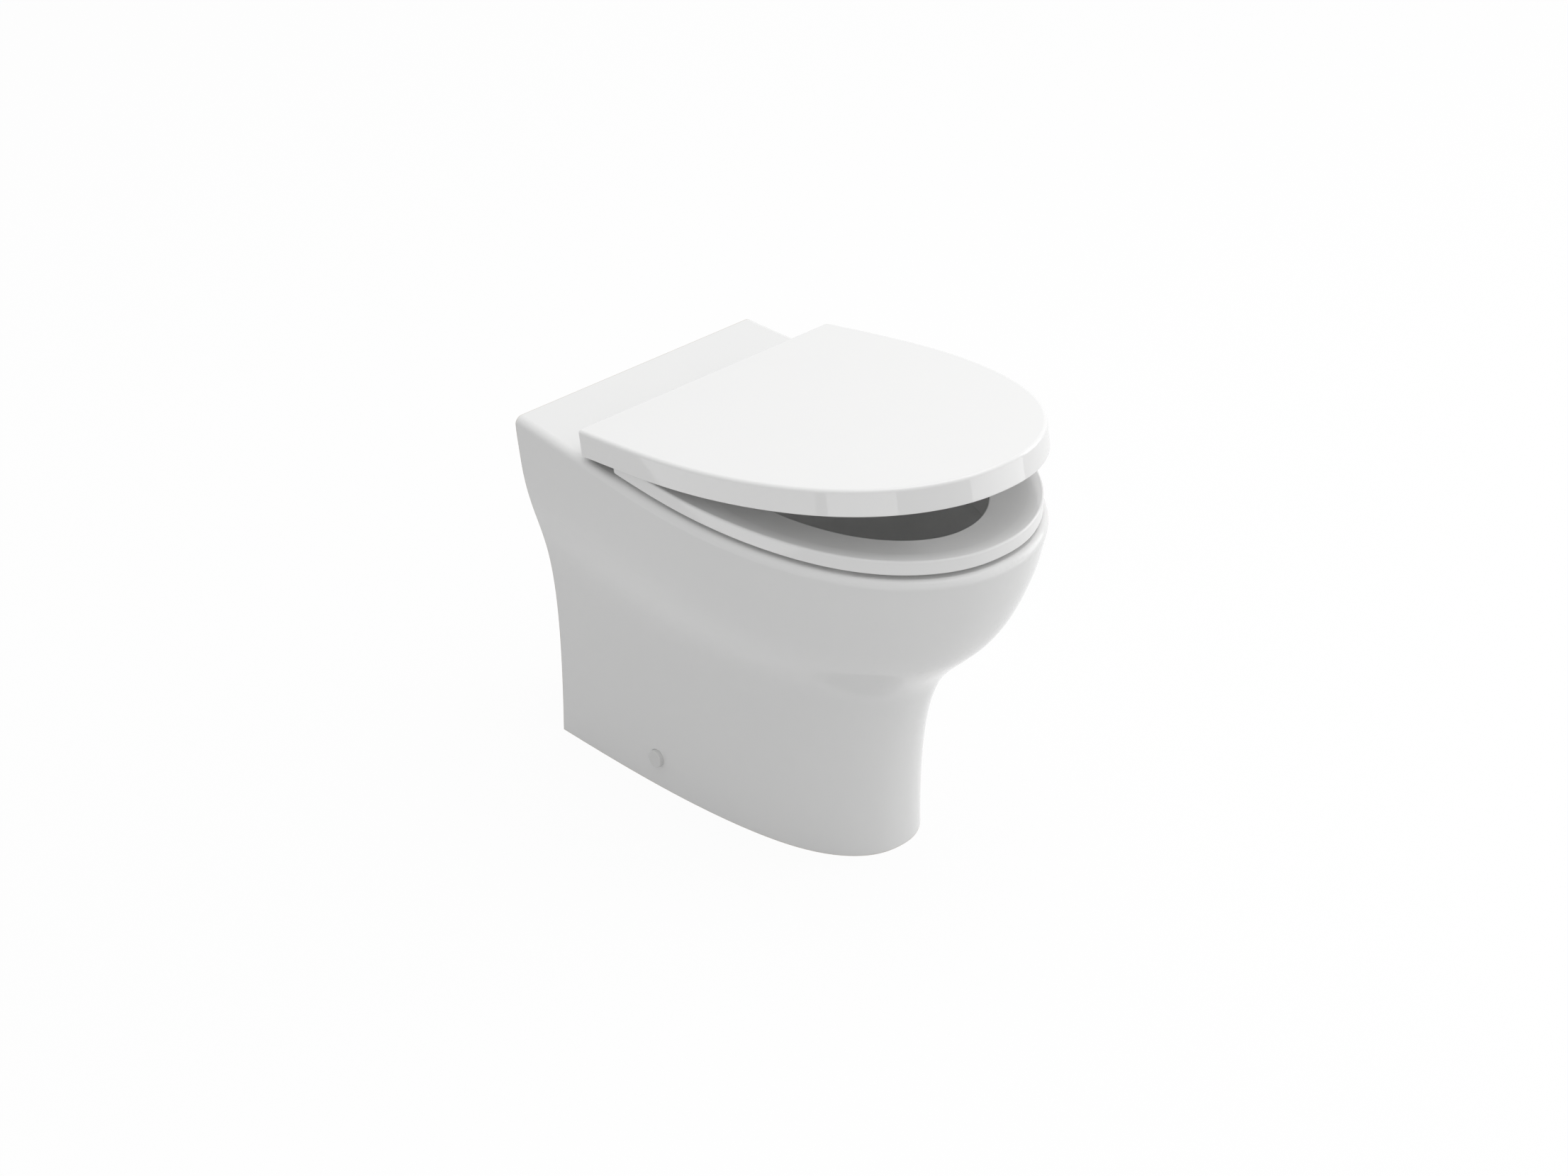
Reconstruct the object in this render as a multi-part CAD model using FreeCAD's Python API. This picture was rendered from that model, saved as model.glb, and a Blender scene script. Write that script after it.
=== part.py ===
# Toilet pan that stands on the floor and backs onto a wall, with a seat ring and a wrap-over
# lid on damped hinges. Millimetres, +Z up, +Y towards the wall, floor at z = 0, and the origin
# on the floor under the middle of the part. "From the wall" is measured forwards, along -Y.
import FreeCAD, Part
import math
import os

Vector = FreeCAD.Vector

# Pan, outside
DECK_HEIGHT = 400.0
PROJECTION = 555.3        # wall to the front of the rim, before its edge is rounded
DECK_WIDTH = 326.0        # deck at the wall
RIM_WIDTH = 361.4         # rim at its widest
FOOT_WIDTH = 216.0        # foot at the wall
FOOT_LENGTH = 406.0       # wall to the front of the foot
RIM_EDGE_RADIUS = 8.0

# Plan curves of the rim and the foot: where their control points stand, as shares of the way
# from wall to front, how far they stand out, and how far the nose's points stand apart
STATIONS = (0.0, 0.2, 0.5, 0.85, 1.0, 1.0)
RIM_BULGE = 1.0736
RIM_SHOULDER = 0.232
RIM_CHEEK = 0.769
RIM_NOSE = 0.337
RIM_NOSE_ROUND = 9.9
FOOT_SHAPE = (1.0, 1.009, 0.99, 0.782, 0.371, 0.0)
FOOT_NOSE_ROUND = 6.9
NOSE_SHARE = (0.0, 0.0, 0.0, 0.0, -2 / 3, 1 / 3)
SIDE_INSET = (1.0, 1.0, 1.0, 0.8, 0.35, 0.0)
FRONT_INSET = (0.0, 0.0, 0.0, 0.6, 1.0, 1.0)

# How the skirt swells from foot to rim: the two handles of each curve, as shares of the height
# and of the swell, and each control point's share of the front curve
WALL_FLARE = ((0.76, -0.03), (0.555, 0.75))
FRONT_FLARE = ((0.774, -0.045), (0.41, 0.64))
FRONT_SHARE = (0.0, 0.25, 0.5, 0.8, 1.0, 1.0)
SKIRT_LEVELS = 12

# Pan, ceramic walls
SKIRT_WALL = 11.0
DECK_THICKNESS = 14.0
BOWL_WALL = 10.0
BACK_THICKNESS = 12.0     # closed upper part of the back
BACK_HEIGHT = 108.0       # its lower edge below the deck
SIDE_LENGTH = 205.0       # side sections, from the wall

# Seat opening, the rim opening round it and the bowl below
OPENING_BACK = 220.0      # rear of the opening, from the wall
FRONT_BAND = 64.3         # opening to the front of the rim
SIDE_BAND = 66.7          # opening to the side of the rim
WIDEST = 0.369            # widest line of the opening, as a share of its length from the rear
RIM_REVEAL = 8.0          # rim opening outside the seat opening
RIM_LIP = 45.0            # height of the lip round the bowl
RIM_UNDERCUT = 8.0        # bowl outside the lip
BOWL_PROFILE = ((1.0, 1.0), (0.78, 0.80), (0.52, 0.47), (0.26, 0.17), (0.0, 0.0))
OUTLINE_POINTS = 16

# Trap and outlet
SUMP_FROM_WALL = 300.0
SUMP_HEIGHT = 96.0
TRAP_BORE_RADIUS = 38.0
TRAP_WALL = 13.0
SUMP_SWELL = 5.0          # sump wider than the trap
BOWL_FOOT_SHRINK = 3.0    # foot of the bowl narrower than the trap
TRAP_RISE = 69.0          # degrees, up to the weir
TRAP_FALL = 50.0          # degrees, down from it, where the inlet leaves room
CREST_GAP = 2.0           # least room between the trap and the inlet
BEND_EASE = 1.0           # bends wider than the trap's outside
SPIGOT_HEIGHT = 180.0
SPIGOT_LENGTH = 53.0
SPIGOT_FROM_WALL = 15.0   # end of the spigot

# Flush inlet
INLET_DROP = 60.0         # below the deck
INLET_RADIUS = 27.5
INLET_DEPTH = 60.0
INLET_WALL = 9.0
FLUSH_RADIUS = 20.0

# Dampers and pins on the hinge axis
HINGE_FROM_WALL = 126.0
HINGE_SPACING = 155.0
FIT = 0.05                # radial, pins and dampers
PIN_RADIUS = 4.0
ROTOR_RADIUS = 4.2
ROTOR_FLAT = 5.6          # across the flats of its drive end
DAMPER_WALL = 2.0
DAMPER_END = 3.0          # closed end of a damper
KNUCKLE_WALL = 2.3
KNUCKLE_LENGTH = 42.0
KNUCKLE_WEB = 12.0        # fore and aft, up to the lid

# Lid, shut
LID_AJAR = 10.2           # degrees, as it stands
LID_REAR = 16.0           # lid behind the axis
LID_DEPTH = 28.3          # top to the skirt's lower edge
LID_PLATE = 4.5
LID_WALL = 4.0
LID_EDGE_RADIUS = 3.6
LID_CORNER_RADIUS = 5.0
LID_HEEL_RADIUS = 10.0    # lower rear edge
LID_LOWER_RADIUS = 1.0    # lower edge of the skirt
PLATE_GAP = 1.2           # between the lid's plate and the knuckles
SWING_GAP = 1.8           # between the swinging lid and what it passes

# Seat
SEAT_RISE = 5.3           # underside above the deck
SEAT_THICKNESS = 16.0
SEAT_SIDE = 5.3           # inside the rim's plan at the sides
SEAT_FRONT = 9.8          # and at the front
SEAT_REAR = 32.0          # rear edge before the hinge axis
SEAT_EDGE_RADIUS = 2.0
SEAT_LOWER_RADIUS = 1.5
SEAT_CORNER_RADIUS = 9.0
SEAT_FLAT = 8.5           # outside the slope towards the opening, at its narrowest
SEAT_DISH_DEPTH = 7.5
SEAT_LIP_RADIUS = 2.0
SEAT_CROWN_RADIUS = 60.0

# Hinge posts and what holds them to the deck
POST_WIDTH = 18.0
POST_DEPTH = 18.5
POST_TOP_RADIUS = 6.0
POST_EDGE_RADIUS = 2.0
FLANGE_RADIUS = 17.0
FLANGE_THICKNESS = 2.5
FLANGE_EDGE_RADIUS = 1.0
GASKET_THICKNESS = 1.5
SIDE_GAP = 0.5            # between a post and the knuckles beside it
NOTCH_GAP = 2.5           # round a post, in the seat and in the lid's back
STUD_RADIUS = 4.0
STUD_BORE_DEPTH = 18.0
STUD_TAIL = 6.0           # thread past the nut
HOLE_GAP = 3.5            # stud to its hole in the deck
WASHER_RADIUS = 14.0
WASHER_THICKNESS = 4.0
NUT_RADIUS = 11.0
NUT_HEIGHT = 12.0
WING_LENGTH = 17.0
WING_THICKNESS = 4.0

# Rubber buffers
BUFFER_RADIUS = 9.0
BUFFER_EDGE_RADIUS = 2.0
BUFFER_STEM_RADIUS = 3.5
BUFFER_STEM = 3.0
BUFFER_GAP = 0.3          # between a buffer and what it lands on
BUFFER_INSET = 30.0       # in from the rim's plan
BUFFER_FROM_FRONT = 110.0
BUFFER_FROM_WALL = 215.0
LID_BUFFER_INSET = 17.0

# Side fixings
FIXING_FROM_WALL = 150.0
FIXING_HEIGHT = 33.5
FIXING_SEAT = 0.5         # flat let into the skirt
CAP_GAP = 0.4             # cap to the edge of that flat
CAP_WALL = 1.35
CAP_SIDE = 1.5
CAP_EDGE_RADIUS = 0.8
SLEEVE_WALL = 2.5
SLEEVE_FLANGE = 1.6
SLEEVE_RIM = 2.5          # flange past the screw's head
SCREW_RADIUS = 3.0
SCREW_HEAD_RADIUS = 5.5
SCREW_HEAD = 2.0
BRACKET_PLATE = 6.0
BRACKET_WIDTH = 36.0
BRACKET_HEIGHT = 62.0
BRACKET_REACH = 46.0
BRACKET_GAP = 0.8         # leg to the skirt
BRACKET_BOSS_RADIUS = 9.0
BRACKET_BOSS = 12.0
ANCHOR_RADIUS = 4.5
ANCHOR_INSET = 28.0       # anchor hole to the outer face of the leg

# Worked out from the sizes above
OPEN_END = 10.0           # how far a cutter runs past an open face
LAP = 1.0                 # how far joined solids run into each other
SEARCH_STEPS = 40
SEAM_TURN = 135.0         # degrees, turns a round surface's seam away from the skirt's
WALL_Y = PROJECTION / 2
OPENING_LENGTH = PROJECTION - FRONT_BAND - OPENING_BACK
OPENING_REAR = WIDEST * OPENING_LENGTH
OPENING_FRONT = OPENING_LENGTH - OPENING_REAR
OPENING_CENTRE = OPENING_BACK + OPENING_REAR
OPENING_HALF_WIDTH = RIM_WIDTH / 2 - SIDE_BAND
DECK_UNDER = DECK_HEIGHT - DECK_THICKNESS
RIM_UNDER = DECK_HEIGHT - RIM_LIP
BACK_UNDER = DECK_HEIGHT - BACK_HEIGHT
INLET_HEIGHT = DECK_HEIGHT - INLET_DROP
SPIGOT_RADIUS = TRAP_BORE_RADIUS + TRAP_WALL
DAMPER_RADIUS = ROTOR_RADIUS + DAMPER_WALL
KNUCKLE_RADIUS = DAMPER_RADIUS + KNUCKLE_WALL
LID_TOP = KNUCKLE_RADIUS + PLATE_GAP + LID_PLATE
LID_SWING = LID_EDGE_RADIUS + math.hypot(LID_REAR - LID_EDGE_RADIUS, LID_TOP - LID_EDGE_RADIUS)
HINGE_Z = DECK_HEIGHT + LID_SWING + SWING_GAP
LID_TOP_Z = HINGE_Z + LID_TOP
LID_UNDER = LID_TOP_Z - LID_PLATE
LID_REAR_FROM_WALL = HINGE_FROM_WALL - LID_REAR
SEAT_UNDER = DECK_HEIGHT + SEAT_RISE
SEAT_TOP = SEAT_UNDER + SEAT_THICKNESS
SEAT_REAR_FROM_WALL = HINGE_FROM_WALL + SEAT_REAR
POST_BACK_FROM_WALL = HINGE_FROM_WALL + LID_SWING + SWING_GAP
POST_FRONT_FROM_WALL = POST_BACK_FROM_WALL + POST_DEPTH
STUD_FROM_WALL = POST_BACK_FROM_WALL + POST_DEPTH / 2
SLEEVE_RADIUS = SCREW_RADIUS + SLEEVE_WALL
SLEEVE_FLANGE_RADIUS = SCREW_HEAD_RADIUS + SLEEVE_RIM
CAP_RADIUS = SLEEVE_FLANGE_RADIUS + CAP_SIDE
BUFFER_FRONT = PROJECTION - BUFFER_FROM_FRONT
SIDES = ((-1, "left"), (1, "right"))


def at(x, from_wall, z):
    return Vector(x, WALL_Y - from_wall, z)


def save(node, shape):
    if not shape.isValid():
        raise ValueError(node + " is not a valid shape")
    shape.exportStep("parts/" + node + ".step")
    print(node, len(shape.Solids), "solid", round(shape.Volume / 1000, 1), "cm3")


def block(x0, x1, wall0, wall1, z0, z1):
    corner = at(min(x0, x1), max(wall0, wall1), z0)
    return Part.makeBox(abs(x1 - x0), abs(wall1 - wall0), z1 - z0, corner)


def rod_x(radius, x0, x1, from_wall, z):
    start = at(min(x0, x1), from_wall, z)
    return Part.makeCylinder(radius, abs(x1 - x0), start, Vector(1, 0, 0))


def rod_y(radius, wall0, wall1, z):
    start = at(0, max(wall0, wall1), z)
    return Part.makeCylinder(radius, abs(wall1 - wall0), start, Vector(0, 1, 0))


def rod_z(radius, x, from_wall, z0, z1):
    return Part.makeCylinder(radius, z1 - z0, at(x, from_wall, z0))


def about_hinge(shape, degrees):
    turned = shape.copy()
    turned.rotate(at(0, HINGE_FROM_WALL, HINGE_Z), Vector(-1, 0, 0), degrees)
    return turned


def edges_where(shape, test):
    return [e for e in shape.Edges if test(e.BoundBox)]


def carve(solid, cutters):
    for cutter in cutters:
        solid = solid.cut(cutter)
    return solid.removeSplitter()


# Plan curves

def rim_poles(side=0.0, front=0.0):
    wall = DECK_WIDTH / 2
    bulge = RIM_BULGE * RIM_WIDTH / 2
    shoulder = wall + RIM_SHOULDER * (bulge - wall)
    halves = (wall, shoulder, bulge, RIM_CHEEK * bulge, RIM_NOSE * bulge, 0.0)
    return inset_poles(halves, PROJECTION, RIM_NOSE_ROUND, side, front)


def foot_poles(inset=0.0):
    halves = [share * FOOT_WIDTH / 2 for share in FOOT_SHAPE]
    return inset_poles(halves, FOOT_LENGTH, FOOT_NOSE_ROUND, inset, inset)


def inset_poles(halves, length, nose, side, front):
    xs = [half - side * share for half, share in zip(halves, SIDE_INSET)]
    ds = [
        station * length + nose * nose_share - front * share
        for station, nose_share, share in zip(STATIONS, NOSE_SHARE, FRONT_INSET)
    ]
    return list(zip(xs, ds))


def flare(handles, share):
    low, high = 0.0, 1.0
    for _ in range(SEARCH_STEPS):
        t = (low + high) / 2
        height, swell = (
            3 * (1 - t) ** 2 * t * a + 3 * (1 - t) * t * t * b + t ** 3
            for a, b in zip(*handles)
        )
        if height < share:
            low = t
        else:
            high = t
    return swell


def skirt_poles(z, inset=0.0):
    wall = flare(WALL_FLARE, z / DECK_HEIGHT)
    front = flare(FRONT_FLARE, z / DECK_HEIGHT)
    poles = []
    for foot, rim, share in zip(foot_poles(inset), rim_poles(inset, inset), FRONT_SHARE):
        swell = (1 - share) * wall + share * front
        poles.append([f + (r - f) * swell for f, r in zip(foot, rim)])
    return poles


def plan_edge(poles, z):
    left = [at(-x, d, z) for x, d in poles]
    right = [at(x, d, z) for x, d in poles[-2::-1]]
    curve = Part.BSplineCurve()
    curve.buildFromPoles(left + right, False, 3)
    return curve.toShape()


def plan_half_width(poles, from_wall):
    edge = plan_edge(poles, 0.0)
    low, high = edge.FirstParameter, (edge.FirstParameter + edge.LastParameter) / 2
    for _ in range(SEARCH_STEPS):
        middle = (low + high) / 2
        if WALL_Y - edge.valueAt(middle).y < from_wall:
            low = middle
        else:
            high = middle
    return -edge.valueAt(middle).x


def plan_slab(poles, rear, z0, z1):
    curve = plan_edge(poles, z0)
    ends = [v.Point for v in curve.Vertexes]
    face = Part.Face(Part.Wire([curve, Part.makeLine(ends[-1], ends[0])]))
    slab = face.extrude(Vector(0, 0, z1 - z0))
    wide = RIM_WIDTH + DECK_WIDTH
    return slab.cut(block(-wide, wide, -OPEN_END, rear, z0 - OPEN_END, z1 + OPEN_END))


def egg(z, centre, half_width, front, rear):
    points = []
    for i in range(OUTLINE_POINTS):
        angle = 2 * math.pi * i / OUTLINE_POINTS
        reach = front if math.cos(angle) > 0 else rear
        points.append(at(half_width * math.sin(angle), centre + reach * math.cos(angle), z))
    curve = Part.BSplineCurve()
    curve.interpolate(points, True)
    return Part.Wire(curve.toShape())


def opening_egg(z, grow):
    return egg(z, OPENING_CENTRE, OPENING_HALF_WIDTH + grow, OPENING_FRONT + grow,
               OPENING_REAR + grow)


def opening_prism(grow, z0, z1):
    return Part.Face(opening_egg(z0, grow)).extrude(Vector(0, 0, z1 - z0))


# Pan: fired as one piece, and built here in the sections that are cast and then stuck together

def skirt_solid(inset, top):
    levels = [top * i / SKIRT_LEVELS for i in range(SKIRT_LEVELS + 1)]
    wires = [Part.Wire(plan_edge(skirt_poles(z, inset), z)) for z in levels]
    skin = Part.makeLoft(wires, False, False).Faces[0]
    middle = top / 2
    low = edges_where(skin, lambda b: b.ZMax < middle)[0]
    high = edges_where(skin, lambda b: b.ZMin > middle)[0]
    left = edges_where(skin, lambda b: b.ZLength > middle and b.XMax < 0)[0]
    right = edges_where(skin, lambda b: b.ZLength > middle and b.XMin > 0)[0]
    low_line = Part.makeLine(low.Vertexes[0].Point, low.Vertexes[1].Point)
    high_line = Part.makeLine(high.Vertexes[0].Point, high.Vertexes[1].Point)
    faces = [skin]
    for edges in ((low, low_line), (high, high_line), (left, high_line, right, low_line)):
        faces.append(Part.Face(Part.Wire(Part.__sortEdges__(list(edges)))))
    shell = Part.Shell(faces)
    shell.sewShape()
    solid = Part.Solid(shell)
    if solid.Volume < 0:
        solid.reverse()
    return solid


def pan_outside():
    solid = skirt_solid(0.0, DECK_HEIGHT)
    solid = solid.cut(rim_lip(0.0, RIM_UNDER, DECK_HEIGHT + OPEN_END))
    level = DECK_HEIGHT - RIM_EDGE_RADIUS / 2
    rims = edges_where(solid, lambda b: b.ZMin > level and b.YLength > OPENING_REAR)
    return solid.makeFillet(RIM_EDGE_RADIUS, rims)


def pan_hollow():
    solid = skirt_solid(SKIRT_WALL, DECK_UNDER)
    floor_face = min(solid.Faces, key=lambda f: f.BoundBox.ZMax)
    back_face = max(solid.Faces, key=lambda f: f.BoundBox.YMin)
    below = floor_face.extrude(Vector(0, 0, -OPEN_END))
    behind = back_face.extrude(Vector(0, OPEN_END, 0))
    return solid.fuse([below, behind])


def bowl(grow):
    low, high = SUMP_HEIGHT, RIM_UNDER
    mouth = RIM_REVEAL + RIM_UNDERCUT + grow
    foot = TRAP_BORE_RADIUS - BOWL_FOOT_SHRINK + grow
    wires = []
    for height, spread in BOWL_PROFILE:
        size = [
            foot + spread * (reach + mouth - foot)
            for reach in (OPENING_HALF_WIDTH, OPENING_FRONT, OPENING_REAR)
        ]
        centre = SUMP_FROM_WALL + spread * (OPENING_CENTRE - SUMP_FROM_WALL)
        wires.append(egg(low + height * (high - low), centre, *size))
    return Part.makeLoft(wires, True, False)


def trap_fall(bend):
    inlet_under = INLET_HEIGHT - INLET_RADIUS - INLET_WALL
    room = inlet_under - CREST_GAP - SPIGOT_HEIGHT - SPIGOT_RADIUS
    steepest = math.acos(max(-1.0, 1 - room / (2 * bend)))
    return min(math.radians(TRAP_FALL), steepest)


def trap_corners():
    bend = SPIGOT_RADIUS + BEND_EASE
    rise, fall = math.radians(TRAP_RISE), trap_fall(bend)
    fall_run = bend * math.tan(fall / 2)
    crest_run = bend * math.tan((rise + fall) / 2)
    down = fall_run + crest_run + BEND_EASE
    outlet = SPIGOT_FROM_WALL + SPIGOT_LENGTH + fall_run
    weir = outlet + down * math.cos(fall)
    weir_height = SPIGOT_HEIGHT + down * math.sin(fall)
    turn = weir + (weir_height - SUMP_HEIGHT) / math.tan(rise)
    return (
        at(0, turn, SUMP_HEIGHT),
        at(0, weir, weir_height),
        at(0, outlet, SPIGOT_HEIGHT),
    )


def trap(radius, end):
    sump = at(0, SUMP_FROM_WALL, SUMP_HEIGHT)
    points = [sump, *trap_corners(), at(0, end, SPIGOT_HEIGHT)]
    bend = SPIGOT_RADIUS + BEND_EASE
    edges = []
    start = sump
    for i in range(1, len(points) - 1):
        before = (points[i - 1] - points[i]).normalize()
        after = (points[i + 1] - points[i]).normalize()
        half_turn = (math.pi - before.getAngle(after)) / 2
        run = bend * math.tan(half_turn)
        middle = (before + after).normalize() * (bend / math.cos(half_turn) - bend)
        first, last = points[i] + before * run, points[i] + after * run
        edges.append(Part.makeLine(start, first))
        edges.append(Part.Arc(first, points[i] + middle, last).toShape())
        start = last
    edges.append(Part.makeLine(start, points[-1]))
    ring = Part.Wire(Part.makeCircle(radius, sump, Vector(0, 1, 0)))
    return Part.Wire(edges).makePipeShell([ring], True, False)


def sump(radius):
    return Part.makeSphere(radius + SUMP_SWELL, at(0, SUMP_FROM_WALL, SUMP_HEIGHT))


def rim_lip(grow, z0, z1):
    return opening_prism(RIM_REVEAL + grow, z0, z1)


def lip_outside(z0, z1):
    return rim_lip(RIM_UNDERCUT + BOWL_WALL + LAP, z0, z1)


def inlet_rod(radius, start, end):
    return rod_y(radius, start, end, INLET_HEIGHT)


def flush_way():
    return inlet_rod(FLUSH_RADIUS, INLET_DEPTH - LAP, OPENING_BACK + BOWL_WALL)


def pan_shell():
    return pan_outside().cut(pan_hollow())


def side_room(side):
    return block(0, side * RIM_WIDTH, -OPEN_END, SIDE_LENGTH, -OPEN_END, BACK_UNDER)


def pan_skirt():
    buried = DECK_UNDER + LAP
    cutters = [rim_lip(0.0, RIM_UNDER - LAP, buried + LAP), flush_way()]
    for side, _ in SIDES:
        cutters.append(rod_z(STUD_RADIUS + HOLE_GAP, post_centre(side), STUD_FROM_WALL,
                             DECK_UNDER - OPEN_END, DECK_HEIGHT + OPEN_END))
        cutters.append(side_room(side))
    return carve(pan_shell().fuse(lip_outside(RIM_UNDER, buried)), cutters)


def pan_side(side):
    return carve(pan_shell().common(side_room(side)), fixing_cutters(side))


def pan_back():
    plate = block(-RIM_WIDTH, RIM_WIDTH, 0, BACK_THICKNESS, BACK_UNDER, DECK_HEIGHT)
    hole = inlet_rod(INLET_RADIUS + INLET_WALL, -OPEN_END, BACK_THICKNESS + OPEN_END)
    return carve(plate.common(pan_hollow()), [hole])


def pan_bowl():
    solid = bowl(BOWL_WALL).fuse(sump(SPIGOT_RADIUS))
    return carve(solid, [
        bowl(0.0),
        sump(TRAP_BORE_RADIUS),
        trap(TRAP_BORE_RADIUS, SPIGOT_FROM_WALL - OPEN_END),
        flush_way(),
    ])


def pan_trap():
    return carve(trap(SPIGOT_RADIUS, SPIGOT_FROM_WALL), [
        bowl(BOWL_WALL),
        sump(SPIGOT_RADIUS),
        trap(TRAP_BORE_RADIUS, SPIGOT_FROM_WALL - OPEN_END),
    ])


def pan_inlet():
    return carve(inlet_rod(INLET_RADIUS + INLET_WALL, 0, OPENING_BACK), [
        bowl(BOWL_WALL),
        lip_outside(RIM_UNDER, DECK_HEIGHT),
        inlet_rod(INLET_RADIUS, -OPEN_END, INLET_DEPTH),
        flush_way(),
    ])


# Side fixings

def fixing_face():
    return plan_half_width(skirt_poles(FIXING_HEIGHT), FIXING_FROM_WALL) - FIXING_SEAT


def fixing_rod(side, radius, x0, x1):
    rod = rod_x(radius, side * x0, side * x1, FIXING_FROM_WALL, FIXING_HEIGHT)
    rod.rotate(at(0, FIXING_FROM_WALL, FIXING_HEIGHT), Vector(1, 0, 0), SEAM_TURN)
    return rod


def fixing_cutters(side):
    face = fixing_face()
    return [
        fixing_rod(side, CAP_RADIUS + CAP_GAP, face, face + OPEN_END),
        fixing_rod(side, SLEEVE_RADIUS + FIT, face - 2 * SKIRT_WALL, face + OPEN_END),
    ]


def bracket_ends():
    return FIXING_FROM_WALL - BRACKET_WIDTH / 2, FIXING_FROM_WALL + BRACKET_WIDTH / 2


def bracket_face():
    halves = [
        plan_half_width(skirt_poles(z, SKIRT_WALL), from_wall)
        for z in (0.0, FIXING_HEIGHT, BRACKET_HEIGHT)
        for from_wall in bracket_ends()
    ]
    return min(halves) - BRACKET_GAP


def fixing_cap(side):
    face = fixing_face()
    inner = face + SLEEVE_FLANGE + SCREW_HEAD + FIT
    cap = fixing_rod(side, CAP_RADIUS, face, inner + CAP_WALL)
    rim = edges_where(cap, lambda b: b.XLength < FIT and abs(b.Center.x) > inner)
    cap = cap.makeFillet(CAP_EDGE_RADIUS, rim)
    return cap.cut(fixing_rod(side, SLEEVE_FLANGE_RADIUS + FIT, face - LAP, inner))


def fixing_sleeve(side):
    face = fixing_face()
    sleeve = fixing_rod(side, SLEEVE_FLANGE_RADIUS, face, face + SLEEVE_FLANGE)
    sleeve = sleeve.fuse(fixing_rod(side, SLEEVE_RADIUS, bracket_face(), face))
    bore = fixing_rod(side, SCREW_RADIUS + FIT, bracket_face() - LAP, face + OPEN_END)
    return sleeve.cut(bore).removeSplitter()


def fixing_screw(side):
    under_head = fixing_face() + SLEEVE_FLANGE
    tip = bracket_face() - BRACKET_PLATE - BRACKET_BOSS / 2
    head = fixing_rod(side, SCREW_HEAD_RADIUS, under_head, under_head + SCREW_HEAD)
    return head.fuse(fixing_rod(side, SCREW_RADIUS, tip, under_head)).removeSplitter()


def floor_bracket(side):
    face = bracket_face()
    back, front = bracket_ends()
    inner = face - BRACKET_PLATE
    leg = block(side * inner, side * face, back, front, 0, BRACKET_HEIGHT)
    foot = block(side * (face - BRACKET_REACH), side * inner, back, front, 0, BRACKET_PLATE)
    boss = fixing_rod(side, BRACKET_BOSS_RADIUS, inner - BRACKET_BOSS, inner)
    anchor = rod_z(ANCHOR_RADIUS, side * (face - ANCHOR_INSET), FIXING_FROM_WALL,
                   -OPEN_END, BRACKET_PLATE + OPEN_END)
    pilot = fixing_rod(side, SCREW_RADIUS + FIT, inner - BRACKET_BOSS - LAP, face + LAP)
    return carve(leg.fuse([foot, boss]), [anchor, pilot])


# Hinges: the posts stand in front of the axis, so that the lid can swing right over

def post_centre(side):
    return side * HINGE_SPACING / 2


def post_faces(side):
    inner, outer = HINGE_SPACING / 2 - POST_WIDTH / 2, HINGE_SPACING / 2 + POST_WIDTH / 2
    return side * inner, side * outer


def axis_rod(radius, x0, x1):
    return rod_x(radius, x0, x1, HINGE_FROM_WALL, HINGE_Z)


def drive_end(radius, flat, x0, x1):
    slab = block(x0, x1, HINGE_FROM_WALL - radius, HINGE_FROM_WALL + radius,
                 HINGE_Z - flat / 2, HINGE_Z + flat / 2)
    return axis_rod(radius, x0, x1).common(slab)


def hinge_post(side):
    inner, outer = post_faces(side)
    middle = post_centre(side)
    pin_end, damper_end = (outer, inner) if side < 0 else (inner, outer)
    base = DECK_HEIGHT + GASKET_THICKNESS
    top = HINGE_Z + KNUCKLE_RADIUS
    front = WALL_Y - POST_FRONT_FROM_WALL
    leg = block(inner, outer, POST_BACK_FROM_WALL, POST_FRONT_FROM_WALL, base, top)
    crest = edges_where(leg, lambda b: b.XLength > LAP and b.ZMin > top - LAP
                        and b.YMax < front + LAP)
    leg = leg.makeFillet(POST_TOP_RADIUS, crest)
    corners = edges_where(leg, lambda b: b.ZLength > POST_TOP_RADIUS + LAP
                          and b.YMax < front + LAP)
    leg = leg.makeFillet(POST_EDGE_RADIUS, corners)
    arm = block(inner, outer, HINGE_FROM_WALL, POST_BACK_FROM_WALL + LAP,
                HINGE_Z - KNUCKLE_RADIUS, top)
    flange = rod_z(FLANGE_RADIUS, middle, STUD_FROM_WALL, base, base + FLANGE_THICKNESS)
    rim = edges_where(flange, lambda b: b.ZMin > base + LAP)
    flange = flange.makeFillet(FLANGE_EDGE_RADIUS, rim)
    post = leg.fuse([arm, axis_rod(KNUCKLE_RADIUS, inner, outer), flange])
    return carve(post, [
        axis_rod(PIN_RADIUS + FIT, middle, pin_end),
        drive_end(ROTOR_RADIUS + FIT, ROTOR_FLAT + 2 * FIT, middle, damper_end),
        rod_z(STUD_RADIUS + FIT, middle, STUD_FROM_WALL, base - LAP, base + STUD_BORE_DEPTH),
    ])


def knuckle_span(side, outboard):
    inner, outer = post_faces(side)
    if outboard:
        start = outer + side * SIDE_GAP
        return start, start + side * KNUCKLE_LENGTH
    start = inner - side * SIDE_GAP
    return start, start - side * KNUCKLE_LENGTH


def hinge_pin(side):
    _, end = knuckle_span(side, outboard=side < 0)
    return axis_rod(PIN_RADIUS, post_centre(side), end)


def damper_body(side):
    start, end = knuckle_span(side, outboard=side > 0)
    inward = math.copysign(1, start - end)
    body = axis_rod(DAMPER_RADIUS, start, end)
    return body.cut(axis_rod(ROTOR_RADIUS + FIT, start + inward, end + inward * DAMPER_END))


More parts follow.
